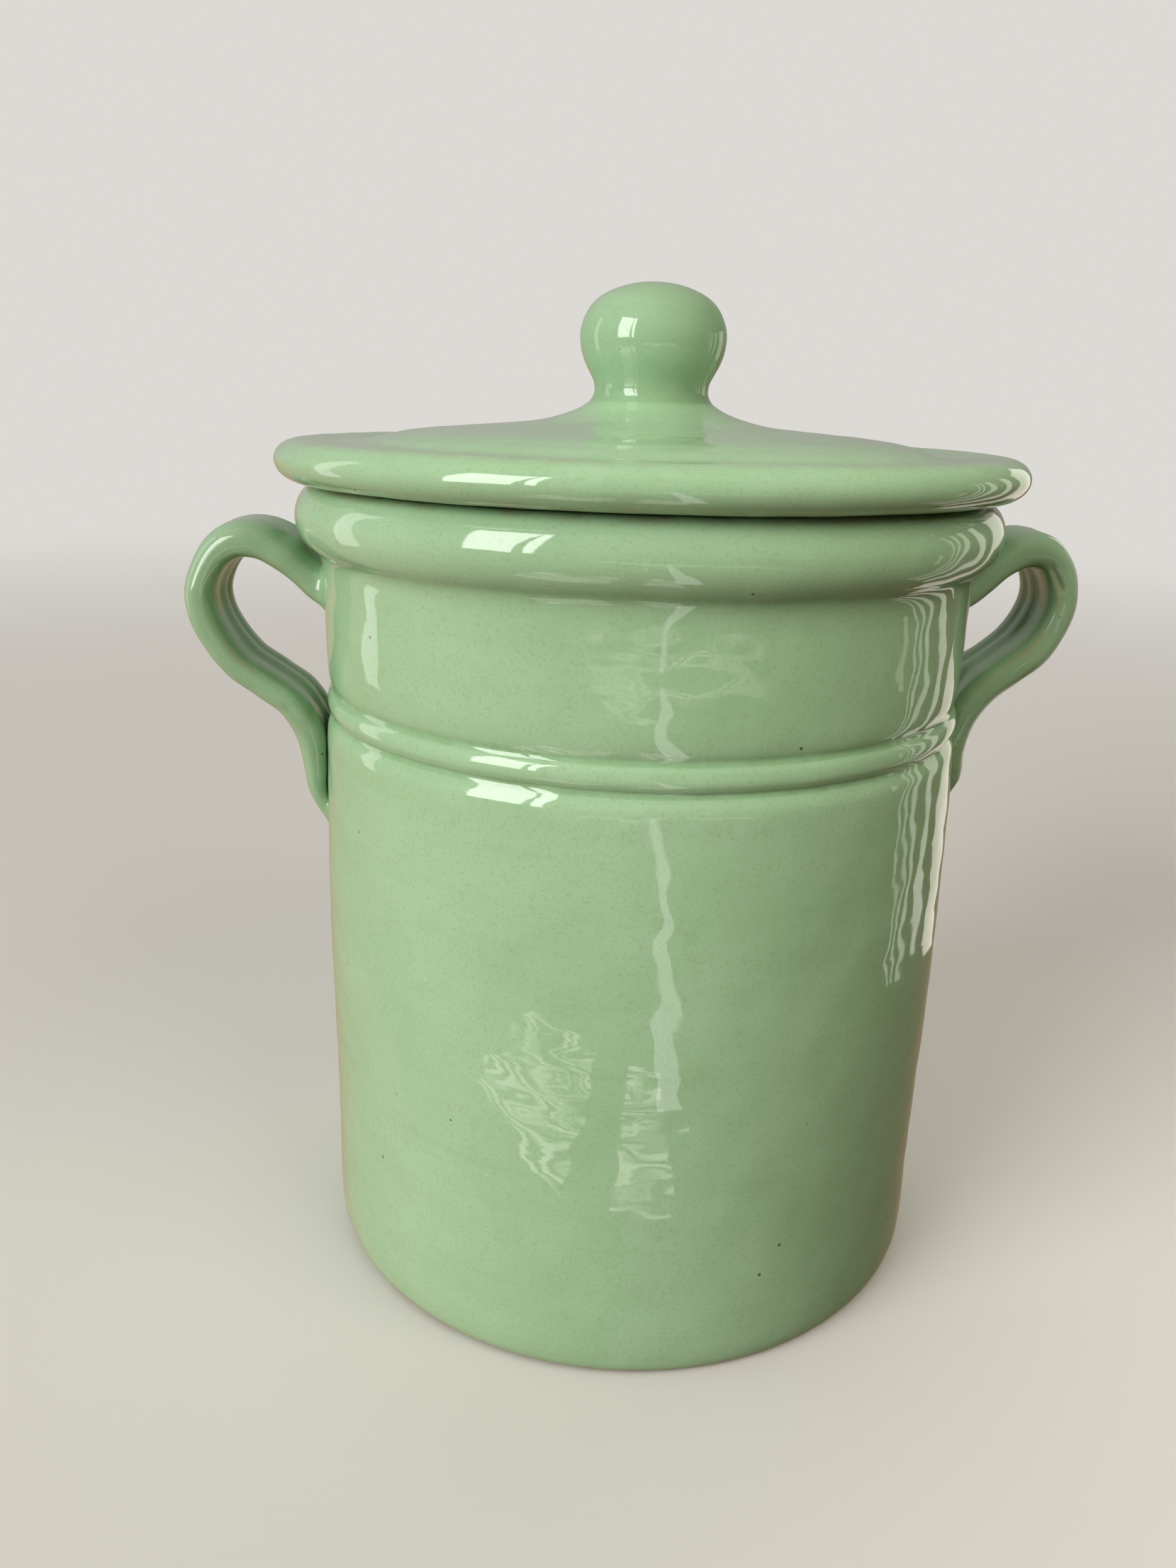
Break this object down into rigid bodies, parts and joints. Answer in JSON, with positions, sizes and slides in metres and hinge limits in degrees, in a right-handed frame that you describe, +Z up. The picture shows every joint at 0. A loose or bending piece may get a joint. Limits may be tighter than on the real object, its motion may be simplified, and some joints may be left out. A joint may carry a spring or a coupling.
{
  "type": "lidded crock",
  "caption": "Tall round glazed stoneware crock with strap handles either side and a lift-off domed lid with a round knob.",
  "frame": {"origin": "centre of the foot, on the surface the crock stands on", "axes": "+Z up along the pot's axis, +X towards the right handle, -Y towards the viewer of the front"},
  "size_m": [0.2621, 0.21, 0.2875],
  "materials": {
    "pot_body": "gloss sage green glaze",
    "left_handle": "gloss sage green glaze",
    "right_handle": "gloss sage green glaze",
    "lid": "gloss sage green glaze",
    "lid_flange": "gloss sage green glaze",
    "lid_knob": "gloss sage green glaze"
  },
  "bodies": {
    "pot": {"pot_body": "pot_body", "left_handle": "left_handle", "right_handle": "right_handle"},
    "lid": {"lid": "lid", "lid_flange": "lid_flange", "lid_knob": "lid_knob"}
  },
  "joints": [
    {"name": "lid_lift", "type": "slide", "parent": "pot", "child": "lid", "axis": [0, 0, 1], "range_m": [0, 0.25]}
  ]
}
